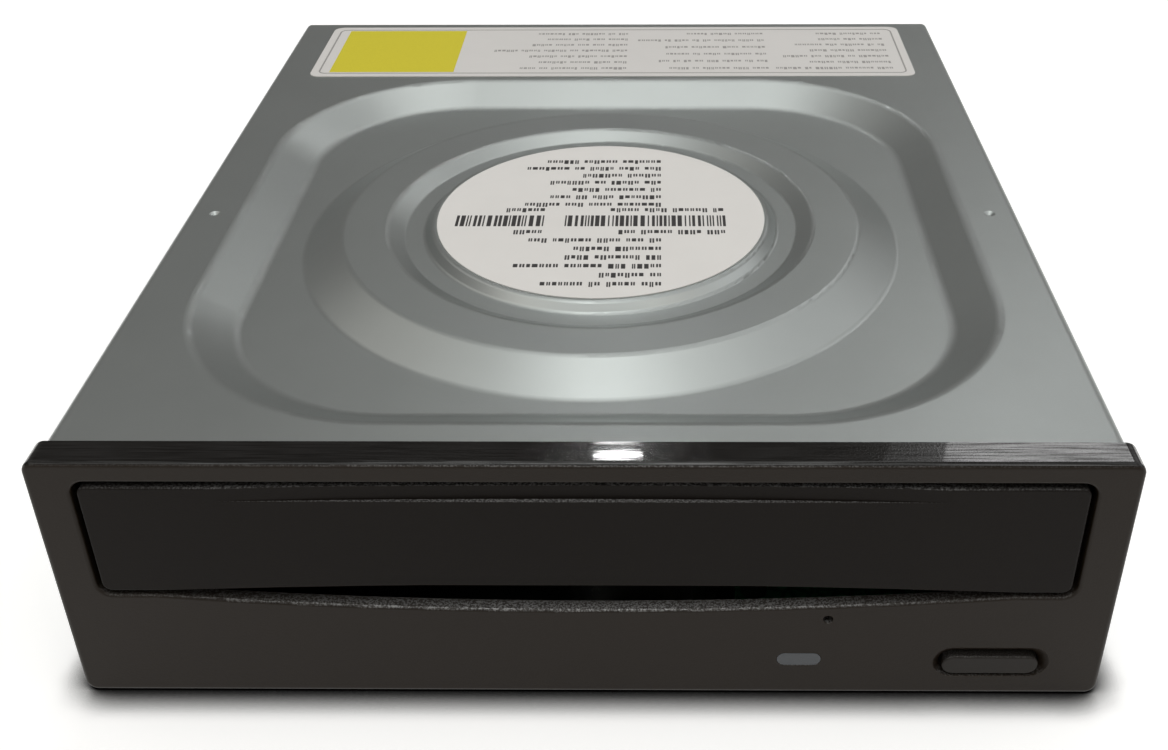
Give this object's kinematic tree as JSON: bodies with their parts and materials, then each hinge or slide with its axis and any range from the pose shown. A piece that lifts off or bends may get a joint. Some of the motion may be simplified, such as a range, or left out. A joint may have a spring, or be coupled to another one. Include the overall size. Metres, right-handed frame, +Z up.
{
  "type": "dvd writer",
  "caption": "Half-height optical disc drive for a computer bay: pressed steel case, moulded bezel, sliding disc tray with its loading gears, lifting traverse, spindle and laser pickup.",
  "frame": {"origin": "middle of the base, under the centre of the whole drive with its bezel", "axes": "+X to the right seen from the front, +Y from the bezel to the connector, +Z up"},
  "size_m": [0.148, 0.17, 0.042],
  "materials": {
    "case_steel": "satin galvanised",
    "bezel_plastic": "fine grain",
    "door_plastic": "fine grain",
    "button_plastic": "fine grain",
    "light_lens": "clear tinted",
    "label_paper": "coated paper",
    "frame_plastic": "moulded",
    "tray_plastic": "moulded",
    "gear_plastic": "moulded",
    "inner_steel": "plain sheet",
    "ground_steel": "ground",
    "screw_steel": "zinc plated",
    "soft_rubber": "matte",
    "cast_metal": "die cast",
    "board_laminate": "solder mask",
    "chip_resin": "moulded",
    "ribbon_film": "film",
    "magnet_black": "sintered"
  },
  "bodies": {
    "chassis": {"top_cover": "case_steel", "bottom_plate": "case_steel", "case_screws": "screw_steel", "round_label": "label_paper", "rating_label": "label_paper", "front_bezel": "bezel_plastic", "activity_light": "light_lens", "drive_belt": "soft_rubber", "loading_motor": "inner_steel", "main_frame": "frame_plastic", "clamper_dish": "inner_steel", "main_board": "board_laminate", "board_chips": "chip_resin", "board_capacitors": "inner_steel", "ribbon_sockets": "ribbon_film", "data_connector": "chip_resin", "front_board": "board_laminate", "eject_switch": "chip_resin", "status_lamp": "light_lens", "board_ribbon": "ribbon_film"},
    "tray": {"disc_tray": "tray_plastic", "tray_door": "door_plastic"},
    "button": {"eject_button": "button_plastic"},
    "plunger": {"switch_plunger": "gear_plastic"},
    "loading_gear": {"tray_gear": "gear_plastic"},
    "belt_gear": {"pulley_gear": "gear_plastic"},
    "motor_rotor": {"motor_pulley": "ground_steel"},
    "cam": {"slide_cam": "gear_plastic"},
    "traverse": {"traverse_holder": "frame_plastic", "traverse_plate": "inner_steel", "damper_bushes": "soft_rubber", "damper_screws": "screw_steel", "spindle_motor": "inner_steel", "spindle_stator": "inner_steel", "left_guide_rod": "ground_steel", "right_guide_rod": "ground_steel", "sled_motor": "inner_steel"},
    "disc_table": {"turntable": "ground_steel", "turntable_pad": "soft_rubber"},
    "pickup": {"pickup_body": "cast_metal", "screw_follower": "gear_plastic"},
    "lens": {"lens_holder": "chip_resin"},
    "sled_screw": {"lead_screw": "ground_steel"},
    "clamper": {"clamper_puck": "gear_plastic", "clamper_magnet": "magnet_black", "clamper_yoke": "inner_steel"}
  },
  "joints": [
    {"name": "tray_slide", "type": "slide", "parent": "chassis", "child": "tray", "axis": [0, -1, 0], "range_m": [0, 0.135]},
    {"name": "eject_press", "type": "slide", "parent": "chassis", "child": "button", "axis": [0, 1, 0], "range_m": [0, 0.0008], "stiffness_N_per_m": 600, "springref_m": -0.0008},
    {"name": "plunger_press", "type": "slide", "parent": "chassis", "child": "plunger", "axis": [0, 1, 0], "range_m": [0, 0.0008]},
    {"name": "loading_gear_spin", "type": "hinge", "parent": "chassis", "child": "loading_gear", "pos_m": [-0.044, -0.062, 0.028], "axis": [0, 0, 1], "range_deg": [0, 967]},
    {"name": "belt_gear_spin", "type": "hinge", "parent": "chassis", "child": "belt_gear", "pos_m": [-0.0258, -0.062, 0.0154], "axis": [0, 0, 1], "range_deg": [-3223, 0]},
    {"name": "loading_motor_spin", "type": "hinge", "parent": "chassis", "child": "motor_rotor", "pos_m": [0.008, -0.062, 0.0154], "axis": [0, 0, 1], "range_deg": [-8678, 0]},
    {"name": "cam_slide", "type": "slide", "parent": "chassis", "child": "cam", "axis": [1, 0, 0], "range_m": [0, 0.024]},
    {"name": "traverse_lift", "type": "hinge", "parent": "chassis", "child": "traverse", "pos_m": [0, 0.07, 0.0181], "axis": [-1, 0, 0], "range_deg": [0, 5.21]},
    {"name": "disc_spin", "type": "hinge", "parent": "traverse", "child": "disc_table", "pos_m": [0, -0.01359, 0.02524], "axis": [0, -0.0908, 0.9959], "continuous": true},
    {"name": "pickup_slide", "type": "slide", "parent": "traverse", "child": "pickup", "axis": [0, 0.9959, 0.0908], "range_m": [0, 0.034]},
    {"name": "lens_focus", "type": "slide", "parent": "pickup", "child": "lens", "axis": [0, -0.0908, 0.9959], "range_m": [-0.0003, 0.0003], "stiffness_N_per_m": 60},
    {"name": "sled_screw_spin", "type": "hinge", "parent": "traverse", "child": "sled_screw", "pos_m": [0.034, -0.01223, 0.0103], "axis": [0, 0.9959, 0.0908], "range_deg": [0, 4081]},
    {"name": "clamper_spin", "type": "hinge", "parent": "chassis", "child": "clamper", "pos_m": [0, -0.0126, 0.0374], "axis": [0, 0, 1], "continuous": true}
  ],
  "couplings": [
    {"joint": "plunger_press", "follows": "eject_press", "ratio": 1},
    {"joint": "loading_gear_spin", "follows": "tray_slide", "rad_per_m": 125},
    {"joint": "belt_gear_spin", "follows": "tray_slide", "rad_per_m": -416.67},
    {"joint": "loading_motor_spin", "follows": "tray_slide", "rad_per_m": -1121.8},
    {"joint": "traverse_lift", "follows": "cam_slide", "rad_per_m": 3.7885},
    {"joint": "sled_screw_spin", "follows": "pickup_slide", "rad_per_m": 2094.4}
  ]
}
